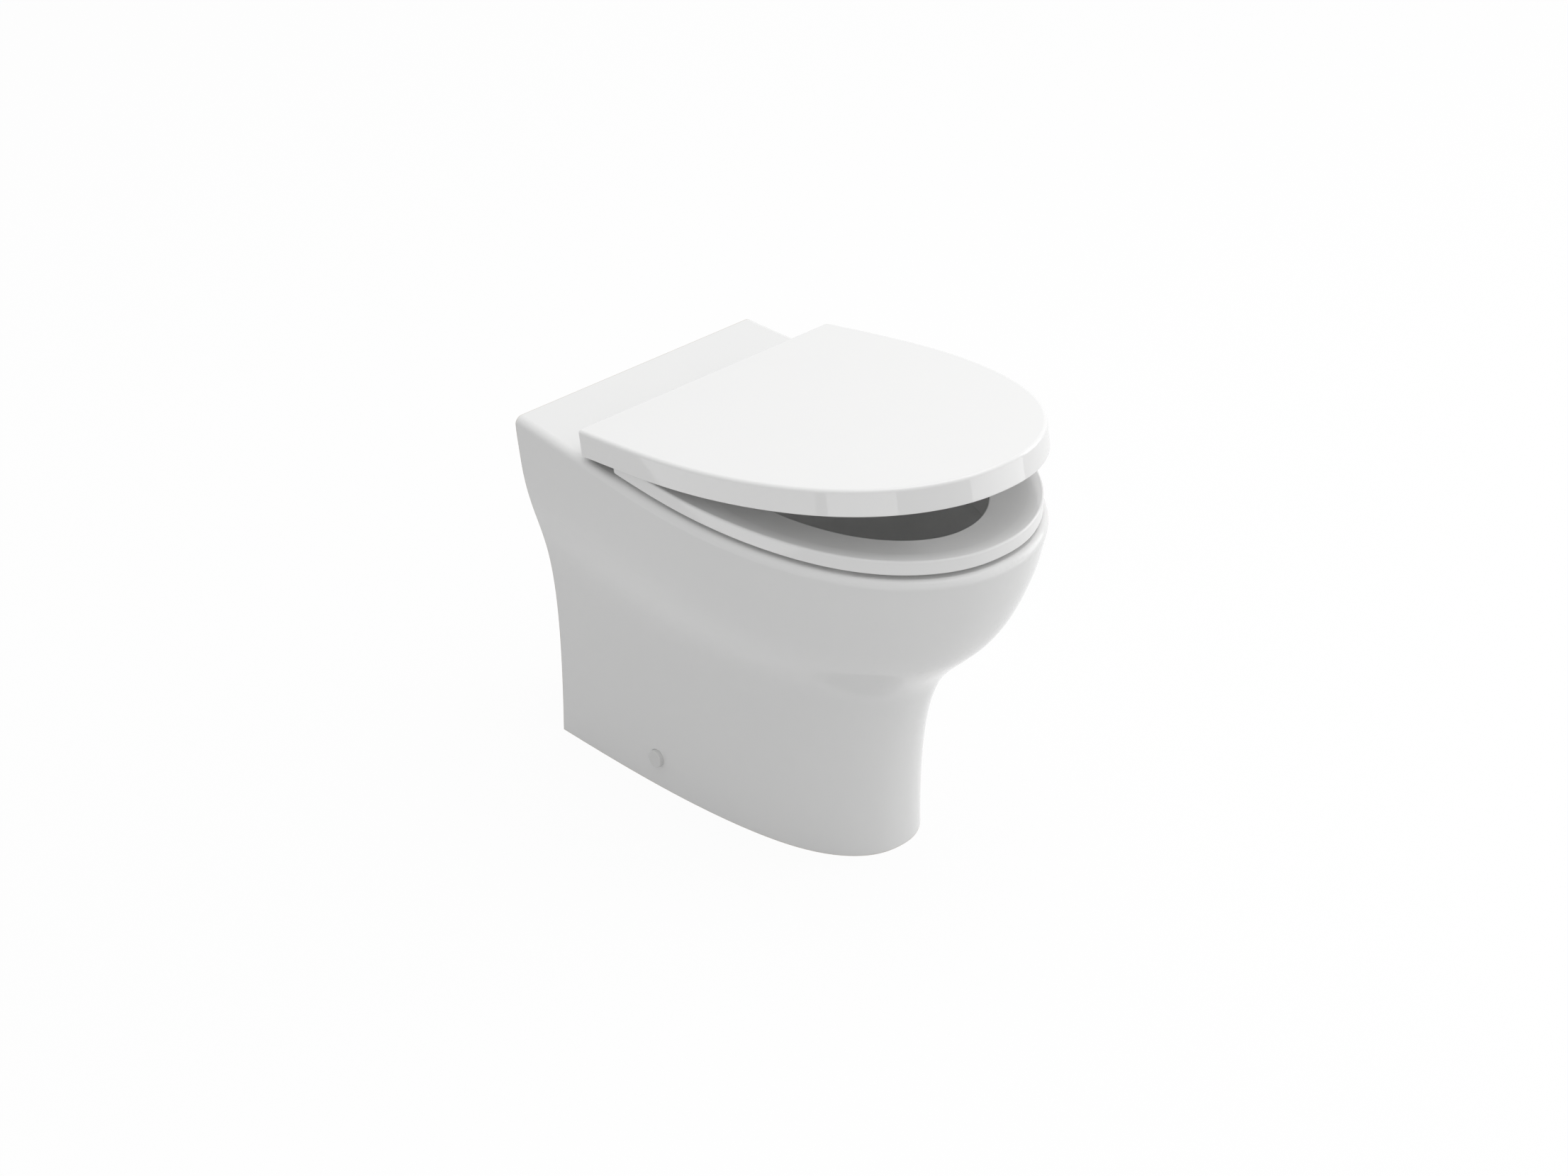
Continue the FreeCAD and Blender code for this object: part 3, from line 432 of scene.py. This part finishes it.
def nutWing(low, high, side, reach):
    startPiece()
    inner, tall = (wingNut["bore"] + wingNut["hub"]) / 2, high - low - wingNut["flangeHeight"]
    bpy.ops.mesh.primitive_cube_add(size=1, location=(side * (inner + reach) / 2, 0, low + tall / 2),
                                    scale=(reach - inner, wingNut["wingThick"], tall))
    wing = bpy.context.object
    bpy.ops.object.transform_apply(location=True, scale=True)
    bpy.ops.object.mode_set(mode="EDIT")
    pickFaces(wing, lambda face: face.normal.x * side > squareOn)
    thin, short = wingNut["wingTip"]
    bpy.ops.transform.resize(value=(1, thin, short), center_override=(0, 0, low))
    bpy.ops.object.mode_set(mode="OBJECT")
    softenEdges(wing, wingNut["wingEdge"], steps=4)
    return wing


def hingeNuts():
    low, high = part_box("hinge_nuts")
    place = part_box("hinge_studs")[1].x - studThread["radius"]
    reach = high.x - place
    wings = [nutWing(low.z, high.z, side, reach) for side in (-1, 1)]
    nut = joinInto("hingeNuts", [*wings, nutHub(low.z, high.z)])
    nut.location = (-place, (low.y + high.y) / 2, 0)
    pair = joinInto("hingeNuts", [copyAcross(nut, 2 * place), nut])
    dress(pair, "naturalNylon")
    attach(pair, "pan")
    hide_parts("hinge_nuts")


# stiffening ribs in the corner of each floor bracket

bracketRib = {
    "plate": 0.006,           # m, thickness of the bracket's leg and foot
    "thick": 0.0035,
    "run": 0.030,             # along the foot
    "rise": 0.036,            # up the leg
    "top": 0.14,              # top's share of the run
    "inset": 0.0012,          # in from the bracket's ends
    "let": 0.0004,            # let into leg and foot
    "edge": 0.0007,
}


def oneRib(side, leg, y):
    startPiece()
    start = leg + bracketRib["let"]
    bottom = bracketRib["plate"] - bracketRib["let"]
    bpy.ops.mesh.primitive_cube_add(
        size=1, location=(side * (start - bracketRib["run"] / 2), y, bottom + bracketRib["rise"] / 2),
        scale=(bracketRib["run"], bracketRib["thick"], bracketRib["rise"]))
    rib = bpy.context.object
    bpy.ops.object.transform_apply(location=True, scale=True)
    bpy.ops.object.mode_set(mode="EDIT")
    pickFaces(rib, lambda face: face.normal.z > squareOn)
    bpy.ops.transform.resize(value=(bracketRib["top"], 1, 1), center_override=(side * start, y, 0))
    bpy.ops.object.mode_set(mode="OBJECT")
    softenEdges(rib, bracketRib["edge"], steps=2)
    return rib


def bracketRibs():
    low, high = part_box("floor_bracket_right")
    leg = high.x - bracketRib["plate"]
    inset = bracketRib["inset"] + bracketRib["thick"] / 2
    ribs = [oneRib(side, leg, y) for side in (-1, 1) for y in (low.y + inset, high.y - inset)]
    whole = joinInto("bracketRibs", ribs)
    dress(whole, "naturalNylon")
    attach(whole, "pan")


hingeNuts()
hingeStuds()
bracketRibs()
print("fixings modelled: studs, wing nuts and bracket ribs")


# stage: pale floor, white surround, soft lamps, and the camera where the photograph was taken from

stage = {
    "floorSize": 40.0,
    "floorBounce": (0.58, 0.58, 0.58, 1),
    "floorSeen": (0.93, 0.93, 0.93, 1),
    "floorGlow": 0.94,        # share of the seen floor that is plain white
    "surround": (1, 1, 1, 1),
    "ambient": 0.61,          # the surround's strength as light
}


def seenRay(tree):
    path = tree.nodes.new("ShaderNodeLightPath")
    seen = calc(tree, "MAXIMUM", path.outputs["Is Camera Ray"], path.outputs["Is Glossy Ray"])
    return calc(tree, "MAXIMUM", seen, path.outputs["Is Transmission Ray"])


def floorFinish():
    finish = bpy.data.materials.new("paleFloor")
    finish.use_nodes = True
    tree = finish.node_tree
    tree.nodes.remove(tree.nodes["Principled BSDF"])
    bounce = tree.nodes.new("ShaderNodeBsdfDiffuse")
    bounce.inputs["Color"].default_value = stage["floorBounce"]
    seen = tree.nodes.new("ShaderNodeBsdfDiffuse")
    seen.inputs["Color"].default_value = stage["floorSeen"]
    glow = tree.nodes.new("ShaderNodeEmission")
    shown = tree.nodes.new("ShaderNodeMixShader")
    shown.inputs["Fac"].default_value = stage["floorGlow"]
    tree.links.new(seen.outputs[0], shown.inputs[1])
    tree.links.new(glow.outputs[0], shown.inputs[2])
    whole = tree.nodes.new("ShaderNodeMixShader")
    tree.links.new(seenRay(tree), whole.inputs["Fac"])
    tree.links.new(bounce.outputs[0], whole.inputs[1])
    tree.links.new(shown.outputs[0], whole.inputs[2])
    tree.links.new(whole.outputs[0], tree.nodes["Material Output"].inputs["Surface"])
    return finish


def makeFloor():
    bpy.ops.mesh.primitive_plane_add(size=stage["floorSize"], location=(0, 0, cadLow.z))
    floor = bpy.context.object
    floor.name = "paleFloor"
    floor.data.materials.append(floorFinish())


def makeSurround():
    world = bpy.data.worlds.new("whiteSurround")
    world.use_nodes = True
    tree = world.node_tree
    tree.nodes.clear()
    out = tree.nodes.new("ShaderNodeOutputWorld")
    back = tree.nodes.new("ShaderNodeBackground")
    strength = mapRange(tree, seenRay(tree), 0, 1, stage["ambient"], 1.0)
    tree.links.new(strength, back.inputs["Strength"])
    tree.links.new(back.outputs[0], out.inputs["Surface"])
    back.inputs["Color"].default_value = stage["surround"]
    bpy.context.scene.world = world


lamps = {                     # W and m; the low panels are what the lid's skirt mirrors
    "topSoft": {"place": (0.3, -0.2, 2.9), "aim": (0, 0, 0.4), "size": (2.4, 2.4), "power": 28},
    "rightKey": {"place": (2.7, -0.9, 1.3), "aim": (0, -0.1, 0.3), "size": (1.6, 2.0), "power": 23},
    "leftPanel": {"place": (-1.118, -0.629, 0.125), "aim": (-0.13, -0.2, 0.125), "size": (0.805, 0.25),
                  "power": 0.8},
    "frontPanel": {"place": (0.602, -1.23, 0.16), "aim": (-0.04, -0.26, 0.16), "size": (1.16, 0.32),
                   "power": 1.6},
    "rearPanel": {"place": (-0.754, 0.279, 0.105), "aim": (0.201, -0.019, 0.105), "size": (0.905, 0.2),
                  "power": 0.41, "onlyInGloss": True},
}


def makeLamp(name):
    style = lamps[name]
    bpy.ops.object.light_add(type="AREA", location=style["place"])
    lamp = bpy.context.object
    lamp.name = name
    lamp.data.shape = "RECTANGLE"
    lamp.data.size, lamp.data.size_y = style["size"]
    lamp.data.energy = style["power"]
    lamp.visible_diffuse = not style.get("onlyInGloss", False)
    towards = Vector(style["aim"]) - Vector(style["place"])
    lamp.rotation_euler = towards.to_track_quat("-Z", "Y").to_euler()


photoView = {
    "place": (-3.329, -3.60035, 3.159),
    "yaw": 42.38,             # degrees, from +Y towards +X
    "pitch": 30.65,           # degrees, downwards
    "focalPixels": 7862.0,
    "imageWidth": 2212.0,
    "sensor": 36.0,           # mm
    "farthest": 100.0,        # m
}


def makeCamera():
    turn = (math.radians(90 - photoView["pitch"]), 0, -math.radians(photoView["yaw"]))
    bpy.ops.object.camera_add(location=photoView["place"], rotation=turn)
    camera = bpy.context.object
    camera.data.sensor_fit = "HORIZONTAL"
    camera.data.sensor_width = photoView["sensor"]
    camera.data.lens = photoView["focalPixels"] / photoView["imageWidth"] * photoView["sensor"]
    camera.data.clip_end = photoView["farthest"]
    bpy.context.scene.camera = camera


makeFloor()
makeSurround()
for lampName in lamps:
    makeLamp(lampName)
makeCamera()
bpy.context.scene.view_settings.view_transform = "Standard"
print("stage set:", len(lamps), "lamps")
